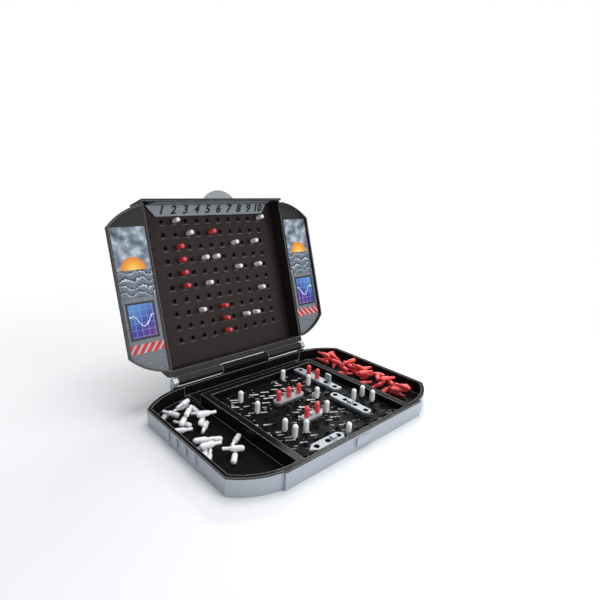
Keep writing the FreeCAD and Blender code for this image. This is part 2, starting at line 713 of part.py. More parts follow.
def standing(cells, height):
    """Placements of upright pegs on ocean grid cells."""
    spots = [cell(column, row) for column, row in cells]
    return [Placement(Vector(x.number, y.number, height.number), Rotation()) for x, y in spots]


def make_target_pegs(name, cells):
    """Pegs in the target board, square to it, counted from the left and from the top."""
    count = size["grid_count"].number
    pitch = target_pitch.number
    places = []
    for column, row in cells:
        across = pitch * (column - (count + 1) / 2)
        along = size["target_first"].number + pitch * (count - row)
        lift = size["peg_neck_length"].number - size["recess_depth"].number
        places.append(Placement(Vector(across, along, lift), Rotation()))
    group = peg_group(name, places)
    on_lid(group)
    return group


def segment_gap(first, second):
    """Least distance between two straight segments, each a pair of points."""
    one = first[1] - first[0]
    two = second[1] - second[0]
    apart = first[0] - second[0]
    a, b, c = one.dot(one), one.dot(two), two.dot(two)
    d, e = one.dot(apart), two.dot(apart)
    spread = a * c - b * b
    along = 0.0 if spread < 1e-9 else min(max((b * e - c * d) / spread, 0.0), 1.0)
    other = min(max((b * along + e) / c, 0.0), 1.0)
    along = min(max((b * other - d) / a, 0.0), 1.0)
    return (apart + one * along - two * other).Length


class SparePeg:
    """A spare peg lying flat: its head, its neck and its shank as round-ended rods."""

    def __init__(self, spot, turn):
        self.spot = spot
        self.heading = Vector(math.cos(turn), math.sin(turn), 0)
        head = size["peg_head_radius"].number
        shank = size["peg_shank_radius"].number
        dome = spot + self.heading * (size["peg_head_length"].number - head)
        middle = spot + self.heading * head
        stop = spot - self.heading * size["peg_neck_length"].number
        tail = spot - self.heading * (size["peg_shank_length"].number - shank)
        self.rods = [((middle, dome), head), ((stop, middle), size["peg_neck_radius"].number),
                     ((tail, middle), shank)]
        self.ends = [(dome, head), (tail, shank)]

    def gap(self, other):
        """Least distance to another spare peg."""
        return min(segment_gap(mine, theirs) - wide - broad
                   for mine, wide in self.rods for theirs, broad in other.rods)

    def placement(self):
        """Turn an upright peg to this one's place."""
        return Placement(self.spot, Rotation(Vector(0, 0, 1), self.heading))


def in_well(spot, margin):
    """Whether a point lies inside the right-hand well by at least margin."""
    inner = well_inner.number + margin
    outer = size["half_width"].number - size["rim_width"].number - margin
    reach = size["arc_radius"].number - size["rim_width"].number - margin
    beyond = max(abs(spot.y) - arc_y.number, 0)
    aside = max(spot.x - arc_x.number, 0)
    return inner < spot.x < outer and beyond ** 2 + aside ** 2 < reach ** 2


def spare_pile(seed, count, pile, hand):
    """Pegs dropped one by one into a well; each comes down until it rests on the floor or a peg."""
    dice = random.Random(seed)
    middle_y = size[f"{pile}_pile_y"].number
    half_y = size[f"{pile}_pile_half"].number
    head = size["peg_head_radius"].number
    keep = size["spare_gap"].number
    inner = well_inner.number + size[f"{pile}_pile_side"].number
    outer = size["half_width"].number
    floor = size["well_floor"].number + head
    placed = []
    while len(placed) < count:
        x = dice.uniform(inner, outer)
        y = middle_y + dice.uniform(-half_y, half_y)
        turn = dice.uniform(0, 2 * math.pi)
        height = floor
        peg = SparePeg(Vector(x, y, height), turn)
        if not all(in_well(end, wide + keep) for end, wide in peg.ends):
            continue
        while any(peg.gap(other) < keep for other in placed):
            height += keep / 2
            peg = SparePeg(Vector(x, y, height), turn)
        if height + head < size["pile_top"].number:
            placed.append(peg)
    if hand < 0:
        placed = [SparePeg(Vector(-peg.spot.x, peg.spot.y, peg.spot.z),
                           math.atan2(peg.heading.y, -peg.heading.x)) for peg in placed]
    return [peg.placement() for peg in placed]


pieces = [
    make_base_shell(),
    make_base_tray(),
    make_ocean_grid(),
    make_hinge_pin(),
    make_lid_shell(),
    make_target_board(),
    make_number_plate(),
    make_sticker(-1, "left_label"),
    make_sticker(1, "right_label"),
    make_finger_tab(),
]

# Ships: towards the player is a heading of -90, to the right is 0
on_ship = size["deck_top"] + size["hull_height"]
pieces += [
    make_ship("carrier", 5, (9, 1), -90, "cut", "cut", (1, 2), towers=(3,)),
    make_ship("battleship", 4, (8, 6), -90, "round", "round", (), turrets=(1.5,)),
    make_ship("cruiser", 3, (4, 4), 0, "round", "round", (0, 1, 2)),
    make_ship("submarine", 3, (2, 10), 0, "round", "pointed", (), turrets=(1.5,)),
    make_ship("destroyer", 2, (4, 7), 0, "pointed", "round", (0, 1), turrets=(0.5,)),
    peg_group("carrier_hit_pegs", standing([(9, 2), (9, 3)], on_ship)),
    peg_group("cruiser_hit_pegs", standing([(4, 4), (5, 4), (6, 4)], on_ship)),
    peg_group("destroyer_hit_pegs", standing([(4, 7), (5, 7)], on_ship)),
    peg_group("ocean_miss_pegs", standing(OCEAN_MISSES, size["deck_top"] + size["peg_neck_length"])),
    make_target_pegs("target_miss_pegs", TARGET_MISSES),
    make_target_pegs("target_hit_pegs", TARGET_HITS),
    peg_group("spare_white_pegs", spare_pile(WHITE_SEED, WHITE_SPARES, "white", -1)),
    peg_group("spare_red_pegs", spare_pile(RED_SEED, RED_SPARES, "red", 1)),
]
doc.recompute()

for item in doc.Objects:
    if "Invalid" in item.State or "Error" in item.State:
        raise RuntimeError(f"{item.Label} failed: {item.State}")
for piece in pieces:
    if piece.Shape.isNull() or not piece.Shape.isValid():
        raise RuntimeError(f"{piece.Label} has no valid shape")

os.makedirs("parts", exist_ok=True)
for piece in pieces:
    piece.Shape.exportStep(f"parts/{piece.Label}.step")
    box = piece.Shape.BoundBox
    print(f"{piece.Label}: {len(piece.Shape.Solids)} solids, {piece.Shape.Volume / 1000:.2f} cm3, "
          f"{box.XLength:.1f} x {box.YLength:.1f} x {box.ZLength:.1f}")
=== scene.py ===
# %% [markdown]
# # A folding case for a fleet guessing game
# The case stands open on a table: a silver base with a black sea of peg holes, and a black lid with a
# second board of holes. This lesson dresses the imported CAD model: it keeps the moulded parts whose shape is
# already right, and makes new surfaces where the real case has finer relief than the CAD model needs.

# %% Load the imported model
import json
import math

import bpy
import numpy as np
from mathutils import Matrix, Vector


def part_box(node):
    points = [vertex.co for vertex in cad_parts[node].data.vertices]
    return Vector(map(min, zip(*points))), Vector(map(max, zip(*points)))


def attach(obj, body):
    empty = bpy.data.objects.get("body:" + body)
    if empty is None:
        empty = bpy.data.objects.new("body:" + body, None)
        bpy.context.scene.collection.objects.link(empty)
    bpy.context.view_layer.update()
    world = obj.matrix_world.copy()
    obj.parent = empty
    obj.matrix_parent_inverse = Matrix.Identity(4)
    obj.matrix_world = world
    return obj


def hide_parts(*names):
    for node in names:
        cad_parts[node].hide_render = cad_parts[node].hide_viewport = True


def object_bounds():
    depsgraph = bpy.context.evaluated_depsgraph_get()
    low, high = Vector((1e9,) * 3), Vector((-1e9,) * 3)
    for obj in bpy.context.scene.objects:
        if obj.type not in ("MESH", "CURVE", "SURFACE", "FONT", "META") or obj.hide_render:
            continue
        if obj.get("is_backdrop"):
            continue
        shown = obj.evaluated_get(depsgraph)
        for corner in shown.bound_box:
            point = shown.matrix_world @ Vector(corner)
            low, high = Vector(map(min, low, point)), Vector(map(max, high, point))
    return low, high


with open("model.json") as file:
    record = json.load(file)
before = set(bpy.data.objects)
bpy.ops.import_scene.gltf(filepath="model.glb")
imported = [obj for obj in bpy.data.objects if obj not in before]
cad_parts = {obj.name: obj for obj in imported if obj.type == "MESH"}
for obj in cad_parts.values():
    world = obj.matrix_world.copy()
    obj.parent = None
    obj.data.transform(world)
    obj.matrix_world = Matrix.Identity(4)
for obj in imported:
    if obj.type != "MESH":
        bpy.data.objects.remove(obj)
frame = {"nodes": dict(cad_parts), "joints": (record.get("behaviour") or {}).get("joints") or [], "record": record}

cad_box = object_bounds()
nodes = frame["nodes"]
joints = {joint["name"]: joint for joint in frame["joints"]}
print("loaded", len(nodes), "CAD nodes; box in mm", [round(1000 * side) for side in cad_box[1] - cad_box[0]])

# %% [markdown]
# ## Where the lid's own directions point
# Everything on the lid is easiest to place in the lid's own frame: x across, d up the lid from the hinge
# line, and z out of the wing plates towards the player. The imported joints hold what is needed: the hinge's
# place, and the way the target pegs pull out, which is square to the lid.

# %% The lid's frame
hinge = np.array(joints["lid_hinge"]["pos_m"])
lid_out = np.array(joints["white_target_pegs_pull"]["axis"])
lid_up = np.array([0.0, lid_out[2], -lid_out[1]])
MM = 0.001


def on_lid(x, d, z):
    """World points of lid points: hinge + x along the hinge line + d up the lid + z out of it, in mm."""
    x, d, z = np.broadcast_arrays(x, d, z)
    across = np.array([1.0, 0.0, 0.0])
    return hinge + MM * (x[..., None] * across + d[..., None] * lid_up + z[..., None] * lid_out)


print("the lid leans back", round(math.degrees(math.acos(lid_up[2])), 1), "degrees from upright")

# %% [markdown]
# ## The camera
# The case is seen from its front left corner, a little above. The place and the turn were worked out from the
# two ten by ten grids of holes, whose sizes are known, so a straight lens without shift is enough.

# %% Camera
camera_data = bpy.data.cameras.new("camera")
camera_data.sensor_width = 36
camera_data.lens = 27.5
camera = bpy.data.objects.new("camera", camera_data)
bpy.context.scene.collection.objects.link(camera)
look = Vector((0.66417, 0.69871, -0.26587)).normalized()
right = Vector((0.73232, -0.67958, 0.04346)).normalized()
above = right.cross(look)
camera.matrix_world = Matrix((
    (right.x, above.x, -look.x, -0.2768),
    (right.y, above.y, -look.y, -0.28989),
    (right.z, above.z, -look.z, 0.22091),
    (0, 0, 0, 1)))
bpy.context.scene.camera = camera
bpy.context.scene.view_settings.view_transform = "Standard"
print("camera at", [round(c, 3) for c in camera.location])

# %% [markdown]
# ## Writing shader maths as Python
# A shader is a net of nodes. Wrapping an output socket in a small class with the usual operators lets a
# pattern be written as a sum, and each sign adds one Math node. Every other node comes from one method, which
# takes the node's type, its settings and what its sockets get.

# %% Shader helper
class Value:
    """An output socket that Python's arithmetic can use."""

    def __init__(self, finish, socket):
        self.finish = finish
        self.socket = socket

    def maths(self, operation, first, second=0.0):
        return self.finish.node("ShaderNodeMath", {"operation": operation}, {0: first, 1: second})

    def __add__(self, other):
        return self.maths("ADD", self, other)

    def __radd__(self, other):
        return self.maths("ADD", other, self)

    def __sub__(self, other):
        return self.maths("SUBTRACT", self, other)

    def __rsub__(self, other):
        return self.maths("SUBTRACT", other, self)

    def __mul__(self, other):
        return self.maths("MULTIPLY", self, other)

    def __rmul__(self, other):
        return self.maths("MULTIPLY", other, self)

    def __truediv__(self, other):
        return self.maths("DIVIDE", self, other)

    def __lt__(self, other):
        return self.maths("LESS_THAN", self, other)

    def __gt__(self, other):
        return self.maths("GREATER_THAN", self, other)

    def __mod__(self, other):
        return self.maths("FLOORED_MODULO", self, other)

    def __abs__(self):
        return self.maths("ABSOLUTE", self)

    def floor(self):
        return self.maths("FLOOR", self)

    def sine(self):
        return self.maths("SINE", self)

    def root(self):
        return self.maths("SQRT", self)

    def clamped(self, factor):
        """The value times factor, kept between 0 and 1."""
        settings = {"operation": "MULTIPLY", "use_clamp": True}
        return self.finish.node("ShaderNodeMath", settings, {0: self, 1: factor})


class Net:
    """A tree of shader nodes, and the one way to add nodes to it."""

    def __init__(self, tree):
        self.tree = tree
        tree.nodes.clear()

    def feed(self, socket, value):
        """Give a socket a constant or a link."""
        if isinstance(value, Value):
            self.tree.links.new(value.socket, socket)
        elif socket.type == "RGBA":
            socket.default_value = (*value, 1.0)
        else:
            socket.default_value = value

    def node(self, kind, settings=None, inputs=None, output=0):
        """Add a node: its settings first, then the values or links of its sockets."""
        made = self.tree.nodes.new(kind)
        for key, value in (settings or {}).items():
            if key == "stops":
                while len(made.color_ramp.elements) < len(value):
                    made.color_ramp.elements.new(0.5)
                for stop, (place, color) in zip(made.color_ramp.elements, value):
                    stop.position = place
                    stop.color = (*color, 1.0)
            else:
                setattr(made, key, value)
        for key, value in (inputs or {}).items():
            self.feed(made.inputs[key], value)
        return Value(self, made.outputs[output]) if made.outputs else made

    def split(self, vector):
        """The x, y and z of a vector."""
        first = self.node("ShaderNodeSeparateXYZ", None, {0: vector})
        return [Value(self, socket) for socket in first.socket.node.outputs]


class Finish(Net):
    """A material with one Principled shader, and the nodes that feed it."""

    def __init__(self, name, color, roughness, **constants):
        self.material = bpy.data.materials.new(name)
        self.material.use_nodes = True
        super().__init__(self.material.node_tree)
        self.surface = self.node("ShaderNodeBsdfPrincipled")
        self.output = self.node("ShaderNodeOutputMaterial", None, {0: self.surface})
        self.set("Base Color", color)
        self.set("Roughness", roughness)
        for socket, value in constants.items():
            self.set(socket.replace("_", " "), value)

    def set(self, socket, value):
        """Give one socket of the Principled shader a constant or a link."""
        self.feed(self.surface.socket.node.inputs[socket], value)

    def place(self):
        """Object coordinates, in metres."""
        return self.node("ShaderNodeTexCoord", output="Object")

    def speckle(self, scale, detail=2.0):
        """Noise between 0 and 1 with about scale lumps in a metre."""
        inputs = {"Vector": self.place(), "Scale": scale, "Detail": detail}
        return self.node("ShaderNodeTexNoise", None, inputs)

    def blend(self, amount, first, second):
        """A colour between two colours."""
        return self.node("ShaderNodeMix", {"data_type": "RGBA"}, {0: amount, 6: first, 7: second}, output=2)

    def edges(self, radius):
        """1 on edges and 0 on flats: how far the rounded normal turns from the true one, the mask where edge
        highlights are painted.
        """
        rounded = self.node("ShaderNodeBevel", {"samples": 6}, {"Radius": radius})
        true = self.node("ShaderNodeNewGeometry", output="Normal")
        dot = {"operation": "DOT_PRODUCT"}
        alike = self.node("ShaderNodeVectorMath", dot, {0: rounded, 1: true}, output="Value")
        return (1.0 - alike).clamped(5.0)

    def grain(self, height, strength, distance, radius):
        """Bump from a height, on edges rounded by radius metres, into Normal."""
        edge = self.node("ShaderNodeBevel", {"samples": 4}, {"Radius": radius})
        inputs = {"Strength": strength, "Distance": distance, "Height": height, "Normal": edge}
        self.set("Normal", self.node("ShaderNodeBump", None, inputs))


print("shader helper ready")

# %% [markdown]
# ## Moulded plastics
# The case is injection moulded. Each plastic has a slow change of tone from the flow of the melt, a fine
# grain in its gloss, and edges that are never quite sharp. The Bevel node rounds the edges in the shading, so
# the CAD meshes stay as they are. Most plastics also get a paler colour on their edges: a painted highlight,
# where light catches them.

# %% Plastic finishes
PORES = 2600


def plastic(name, color, roughness, tone=0.06, grain=0.15, edge=0.0005, painted_edge_color=None, **constants):
    """Moulded plastic: colour times 1 +- tone from slow noise, roughness +- grain from fine noise.

    Its edges get a paler colour if one is given: a painted highlight, where light catches the edges.
    """
    finish = Finish(name, color, roughness, **constants)
    slow = finish.speckle(38)
    fine = finish.speckle(PORES, 3.0)
    pale = tuple(min(1.0, c * (1 + tone)) for c in color)
    deep = tuple(c * (1 - tone) for c in color)
    base = finish.blend(slow, deep, pale)
    # Painted highlight: the edges blend towards the paler colour, standing in for light on them.
    finish.set("Base Color", finish.blend(finish.edges(edge), base, painted_edge_color) if painted_edge_color else base)
    finish.set("Roughness", roughness + (fine - 0.5) * grain)
    finish.grain(fine, 0.12, 0.0001, edge)
    return finish.material


# The paler edge colours given here are painted highlights along the moulded edges.
black = plastic("black_moulding", (0.016, 0.0125, 0.0125), 0.4, edge=0.0007,
                painted_edge_color=(0.42, 0.42, 0.43), Specular_IOR_Level=0.15)
tray_black = plastic("tray_moulding", (0.008, 0.0072, 0.0072), 0.2, grain=0.06, edge=0.0008,
                     painted_edge_color=(0.5, 0.5, 0.51), Specular_IOR_Level=0.04)
board_black = plastic("board_moulding", (0.020, 0.0125, 0.013), 0.45, edge=0.0002,
                      Specular_IOR_Level=0.1)
# The ledges are grey, not black: a painted highlight on their rounded tops, where light catches them.
ledge_highlight_grey = plastic("ledges_painted_highlight", (0.1, 0.095, 0.1), 0.4, edge=0.0001)
silver = plastic("silver_moulding", (0.38, 0.42, 0.47), 0.3, tone=0.04, edge=0.0006, Metallic=0.35)
grey = plastic("grey_moulding", (0.22, 0.235, 0.265), 0.38, edge=0.0005)
plate_grey = plastic("plate_moulding", (0.17, 0.192, 0.215), 0.42, edge=0.0004,
                     painted_edge_color=(0.36, 0.39, 0.42))
white = plastic("white_pegs", (0.87, 0.88, 0.9), 0.3, tone=0.03, edge=0.0003)
red = plastic("red_pegs", (0.82, 0.07, 0.07), 0.3, edge=0.0003)
steel = plastic("drawn_wire", (0.55, 0.56, 0.58), 0.3, edge=0.0002, Metallic=1.0)
# The dark finish of the digits, also used as painted shade in the ships' empty holes.
ink_and_shade = plastic("dark_digits_and_hole_shade", (0.012, 0.0125, 0.014), 0.45, edge=0.0001, Specular_IOR_Level=0.1)


def hull_plastic(name, top, low, level):
    """Grey plastic that is darker below level metres, a painted shade under the ships' top plates, and paler on
    its edges, a painted highlight.
    """
    finish = Finish(name, top, 0.38)
    height = finish.split(finish.place())[2]
    # Painted shade: below level the grey turns dark, as the hull lies in the top plate's shadow.
    base = finish.blend(height < level, top, low)
    # Painted highlight: the edges get a paler grey, standing in for light on them.
    painted_edge_tint = tuple(min(1.0, 2.2 * c) for c in top)
    finish.set("Base Color", finish.blend(finish.edges(0.0005), base, painted_edge_tint))
    finish.grain(finish.speckle(PORES, 3.0), 0.12, 0.0001, 0.0005)
    return finish.material


ship_grey = hull_plastic("ship_moulding", (0.34, 0.375, 0.41), (0.06, 0.066, 0.075), 0.0127)


# The crests run from the back left to the front right, which is level as the camera sees it
CREST = math.radians(-30)
RIPPLE_MM, GLINT_MM = 4.4, 11


def wet_sea(name, color, glint):
    """Black water with short bright glints along the crests of its ripples, painted into the base colour as
    painted highlights.

    In millimetres along the crests and across them, every ripple is a row, and white noise starts each row
    elsewhere. A row is cut into cells, and a second white noise chooses each cell's glint: none, short or
    long. The glints fade along the crests, away from the side that catches the light.
    """
    finish = Finish(name, color, 0.3, Specular_IOR_Level=0.015)
    turned = finish.node("ShaderNodeMapping", {"vector_type": "TEXTURE"}, {
        "Vector": finish.place(), "Rotation": (0, 0, CREST), "Scale": (MM, MM, MM)})
    along, across, _ = finish.split(turned)
    ripple = (across + 3 * finish.speckle(30)) / RIPPLE_MM
    row = ripple.floor()
    start = finish.node("ShaderNodeTexWhiteNoise", {"noise_dimensions": "1D"}, {"W": row})
    reach = (along + 60 * start) / GLINT_MM
    cell = reach.floor()
    spot = finish.node("ShaderNodeCombineXYZ", None, {0: row, 1: cell})
    chance = finish.node("ShaderNodeTexWhiteNoise", {"noise_dimensions": "2D"}, {"Vector": spot})
    long = abs(reach % 1.0 - 0.5) < 0.62 * chance - 0.18
    thin = abs(ripple % 1.0 - 0.5) < 0.06 + 0.14 * chance
    patch = (finish.speckle(34) - 0.38).clamped(8.0)
    fade = finish.node("ShaderNodeMapRange", None, {
        "Value": along, "From Min": 5.0, "From Max": 50.0, "To Min": 1.0, "To Max": 0.15})
    # Painted highlight: the glints are pale base colour on the black, standing in for light caught by the ripples.
    finish.set("Base Color", finish.blend(long * thin * patch * fade * chance, color, glint))
    finish.grain((ripple * math.tau).sine(), 0.08, 0.0005, 0.0002)
    return finish.material


sea_black = wet_sea("sea_moulding", (0.009, 0.008, 0.0085), (0.8, 0.81, 0.82))

finishes = {
    "silver_plastic": silver, "black_plastic": black, "sea_black_plastic": sea_black, "pin_steel": steel,
    "board_black_plastic": board_black, "grey_plastic": grey, "ship_grey_plastic": ship_grey,
    "white_plastic": white, "red_plastic": red, "printed_label": grey,
}
slot_of = {part["node"]: part["material_slot"] for part in frame["record"]["subparts"]}
own_finish = {"number_plate": plate_grey, "base_tray": tray_black}
for name, node in nodes.items():
    node.data.materials.clear()
    node.data.materials.append(own_finish.get(name, finishes[slot_of[name]]))
print("finished", len(nodes), "CAD nodes in", len(set(slot_of.values())), "finishes")

# %% [markdown]
# ## Turning arrays into pieces
# A surface is an array of points over two parameters. Its faces join each point to its neighbours, so whole
# arrays of indices make them at once.

# %% Mesh helper
def new_piece(name, points, faces, material, body, replaced=(), uv=None, smooth=True):
    """A piece from an array of points (n, 3) in metres and an array of quads (m, 4)."""
    mesh = bpy.data.meshes.new(name)
    mesh.from_pydata(points.reshape(-1, 3), [], faces)
    mesh.polygons.foreach_set("use_smooth", np.full(len(mesh.polygons), smooth))
    mesh.set_sharp_from_angle(angle=math.radians(50))
    mesh.materials.append(material)
    if uv is not None:
        corners = np.zeros(len(mesh.loops), dtype=np.int32)
        mesh.loops.foreach_get("vertex_index", corners)
        mesh.uv_layers.new(name="UVMap").uv.foreach_set("vector", uv.reshape(-1, 2)[corners].ravel())
    mesh.update()
    piece = bpy.data.objects.new(name, mesh)
    bpy.context.scene.collection.objects.link(piece)
    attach(piece, body)
    if replaced:
        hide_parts(*replaced)
    return piece


def grid_faces(rows, columns, wrap=False):
    """Quads of a rows x columns array of points; wrap joins the last column to the first."""
    numbers = np.arange(rows * columns).reshape(rows, columns)
    if wrap:
        numbers = np.concatenate([numbers, numbers[:, :1]], axis=1)
    quads = [numbers[:-1, :-1], numbers[:-1, 1:], numbers[1:, 1:], numbers[1:, :-1]]
    return np.stack(quads, axis=-1).reshape(-1, 4)


print("mesh helper ready")

# %% [markdown]
# ## A plate full of collared holes
# Both boards are plates with a hundred holes, each with a raised collar. A plain square grid of points
# would cut the holes into steps, so each cell has its own polar grid: it starts as a circle round the hole
# and ends as the cell's square, and the cells meet point by point.

# %% Plate of holes
WELD_M = 0.00001


def hole_plate(pitch, count, hole, collar, thick, edges, relief, spokes=32, rings=7):
    """Polar cells: radius goes from the hole to the square over the rings, height from the collar and relief.

    Each cell's profile runs up the hole's wall, over the collar, out to the cell's square, and under the
    plate back to the hole. Cells on the plate's rim have their outer points moved to edges
    (low x, high x, low y, high y). relief(x, y) is the depth of the surface below the collars.
    Returns points in mm with the collars' tops at height 0, and quads.
    """
    turn = np.arange(spokes) * 2 * np.pi / spokes
    ray = np.stack([np.cos(turn), np.sin(turn)], axis=-1)
    square = pitch / 2 / np.abs(ray).max(axis=-1)
    bead = collar - hole
    # Rows of the profile: how far from the hole's edge towards the collar's edge, then towards the square
    near = np.array([hole, hole, hole + 0.15 * bead, hole + 0.6 * bead, hole + 0.75 * bead,
                     collar, collar + 0.2])
    share = np.linspace(0, 1, rings + 1)[1:]
    out = near[-1] + share[:, None] * (square - near[-1])
    radius = np.concatenate([np.repeat(near[:, None], spokes, axis=1), out, square[None],
                             np.full((1, spokes), hole)])
    flat = radius[..., None] * ray
    middles = (np.arange(count) - (count - 1) / 2) * pitch
    cell_y, cell_x = np.meshgrid(middles, middles, indexing="ij")
    x = cell_x.reshape(-1, 1, 1) + flat[None, ..., 0]
    y = cell_y.reshape(-1, 1, 1) + flat[None, ..., 1]
    limit = pitch * count / 2 - 1e-6
    depth = relief(x, y)
    weight = np.concatenate([[0, 0, 0, 0, 0.12, 1, 1], np.ones(rings), [0, 0]])
    height = -depth * weight[None, :, None]
    height[:, 0] = -thick
    height[:, 1] = -0.18
    height[:, -2:] = -thick
    rim = (np.abs(x) > limit) | (np.abs(y) > limit)
    x = np.where(x < -limit, edges[0], np.where(x > limit, edges[1], x))
    y = np.where(y < -limit, edges[2], np.where(y > limit, edges[3], y))
    rows = radius.shape[0]
    numbers = np.arange(x.size).reshape(x.shape)
    following = np.roll(numbers, -1, axis=2)
    below = np.concatenate([numbers[:, 1:], numbers[:, :1]], axis=1)
    below_following = np.roll(below, -1, axis=2)
    faces = np.stack([numbers, below, below_following, following], axis=-1)
    keep = np.ones(x.shape, dtype=bool)
    both = rim & np.roll(rim, -1, axis=2)
    keep[:, rows - 3] = both[:, rows - 3]
    return np.stack([x, y, height], axis=-1), faces[keep]


def merge(piece):
    """Join points that lie closer than the weld distance, so neighbouring cells share their edge."""
    weld = piece.modifiers.new("weld", "WELD")
    weld.merge_threshold = WELD_M


print("hole plates ready")

# %% [markdown]
# ## The sea
# The lower board is moulded as a choppy sea: short crossing waves round every collar. A sum of sine waves
# with different headings gives that without repeating, and the collars stay level because ships and pegs
# stand on them.

# %% Sea deck
low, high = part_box("ocean_grid")
deck_low, deck_high = 1000 * np.array(low), 1000 * np.array(high)
deck_middle = (deck_low + deck_high) / 2
GRID = 10
OCEAN_PITCH = 12.7
HOLE = 1.7


def waves(x, y):
    """Depth of the sea below the collars: 0.8 mm plus sine waves that run nearly square to the crests.

    Each wave has its own heading, length and height, and a slow sine bends its crests.
    """
    headings = CREST + np.radians([83, 97, 104, 76, 91])
    lengths = np.array([7.9, 6.1, 10.3, 5.3, 4.6])
    heights = np.array([0.07, 0.06, 0.05, 0.04, 0.03])
    phase = np.array([0.3, 1.9, 4.1, 2.6, 5.3])
    bend = 1.4 * np.sin(0.21 * x + 0.05 * y) + 0.9 * np.sin(0.37 * x - 0.11 * y + 1.0)
    ridges = [h * np.sin(2 * np.pi * (x * np.cos(a) + y * np.sin(a)) / l + p + bend)
              for a, l, h, p in zip(headings, lengths, heights, phase)]
    return 0.8 - sum(ridges)


half = (deck_high - deck_low) / 2
points, faces = hole_plate(OCEAN_PITCH, GRID, HOLE, 3.1, deck_high[2] - deck_low[2],
                           (-half[0], half[0], -half[1], half[1]), waves, spokes=48, rings=8)
on_base = MM * (points + [deck_middle[0], deck_middle[1], deck_high[2]])
sea = new_piece("sea_deck", on_base, faces, sea_black, "base", ["ocean_grid"])
merge(sea)
print("sea deck:", len(faces), "quads")

# %% [markdown]
# ## Holes in the ships
# The empty holes of a ship look black, with a thin moulded ring. One profile turned about each hole's axis
# makes a dark cup with its ring, painted shade that fills the hole and darkens the ring, and each ship carries
# its own cups when it is lifted.

# %% Ship hole cups
def cups(cells, level, spokes=20):
    """The profile (radius, height), in mm, turned about the axis of every cell (column, row) of the sea."""
    # A dark cup and ring: painted shade in a hole that is otherwise grey plastic.
    profile = np.array([(2.6, 0.0), (2.5, 0.14), (2.05, 0.14), (1.88, 0.0), (1.88, -3.2), (0.01, -3.2)])
    turn = np.arange(spokes) * 2 * np.pi / spokes
    cells = np.array(cells)
    middle = (GRID + 1) / 2
    x = (cells[:, 0] - middle) * OCEAN_PITCH + deck_middle[0]
    y = (middle - cells[:, 1]) * OCEAN_PITCH + deck_middle[1]
    ring = profile[:, :1] * np.stack([np.cos(turn), np.sin(turn)])[:, None]
    shape = (len(cells), len(profile), spokes)
    height = np.broadcast_to(profile[:, 1:] + level, shape)
    points = np.stack([x[:, None, None] + ring[0], y[:, None, None] + ring[1], height], axis=-1)
    one = grid_faces(len(profile), spokes, wrap=True)
    step = np.arange(len(cells))[:, None, None] * len(profile) * spokes
    return MM * points, (one[None, :, ::-1] + step).reshape(-1, 4)


HULL_HEIGHT = 4.4
empty_holes = {"carrier": [(9, 1), (9, 4), (9, 5)], "battleship": [(8, 6), (8, 7), (8, 8), (8, 9)],
               "submarine": [(2, 10), (3, 10), (4, 10)]}
for ship, cells in empty_holes.items():
    points, faces = cups(cells, deck_high[2] + HULL_HEIGHT)
    # Painted shade: every empty hole gets a dark cup and ring.
    new_piece(f"{ship}_hole_painted_shade", points, faces, ink_and_shade, ship)
print("cups for", sum(len(cells) for cells in empty_holes.values()), "ship holes")

# %% [markdown]
# ## The target board
# The upper board has the same collared holes on a flat plate, deep in the lid.

# %% Target board
TARGET_PITCH = 13.5
TARGET_FIRST = 36.8
RECESS = 16.0
COLLAR_HEIGHT = 0.45
BOARD_HALF, BOARD_FOOT, BOARD_HEAD = 83.5, 11.3, 175.0
columns = (np.arange(GRID) - (GRID - 1) / 2) * TARGET_PITCH
target_middle = TARGET_FIRST + (GRID - 1) / 2 * TARGET_PITCH
board_edges = (-BOARD_HALF, BOARD_HALF, BOARD_FOOT - target_middle, BOARD_HEAD - target_middle)
points, faces = hole_plate(TARGET_PITCH, GRID, HOLE, 3.0, 2.0, board_edges,
                           lambda x, y: np.full(np.shape(x), COLLAR_HEIGHT), spokes=32, rings=2)
on_board = on_lid(points[..., 0], points[..., 1] + target_middle, points[..., 2] - RECESS)
board = new_piece("target_face", on_board, faces, board_black, "lid", ["target_board"])
merge(board)
print("target face:", len(faces), "quads")


# %% Ledges under the holes
def ledges(reach, radius, drop):
    """Half-round bars, one under each hole: a half circle carried along x and drawn in at both ends."""
    turn = np.linspace(0, np.pi, 7)
    along = np.array([-reach, 0.4 - reach, reach - 0.4, reach])
    girth = np.array([0.1, 1.0, 1.0, 0.1])[:, None] * radius
    row, column = np.meshgrid(columns, columns, indexing="ij")
    shape = (GRID ** 2, len(along), len(turn))
    x = np.broadcast_to(column.reshape(-1, 1, 1) + along[:, None], shape)
    d = target_middle + row.reshape(-1, 1, 1) - drop + girth * np.cos(turn)
    z = np.broadcast_to(girth * np.sin(turn) - RECESS - COLLAR_HEIGHT, shape)
    one = grid_faces(len(along), len(turn))
    step = np.arange(GRID ** 2)[:, None, None] * len(along) * len(turn)
    return on_lid(x, d, z), (one[None] + step).reshape(-1, 4)


points, faces = ledges(reach=3.4, radius=0.45, drop=3.7)
new_piece("row_ledges", points, faces, ledge_highlight_grey, "lid")
print("ledges:", len(faces), "quads")

# %% [markdown]
# ## The number plate's flange
# The grey number plate lies on the board, and its upper edge is bent out along the top wall of the lid, so
# from the front the grey runs on to the lid's edge.


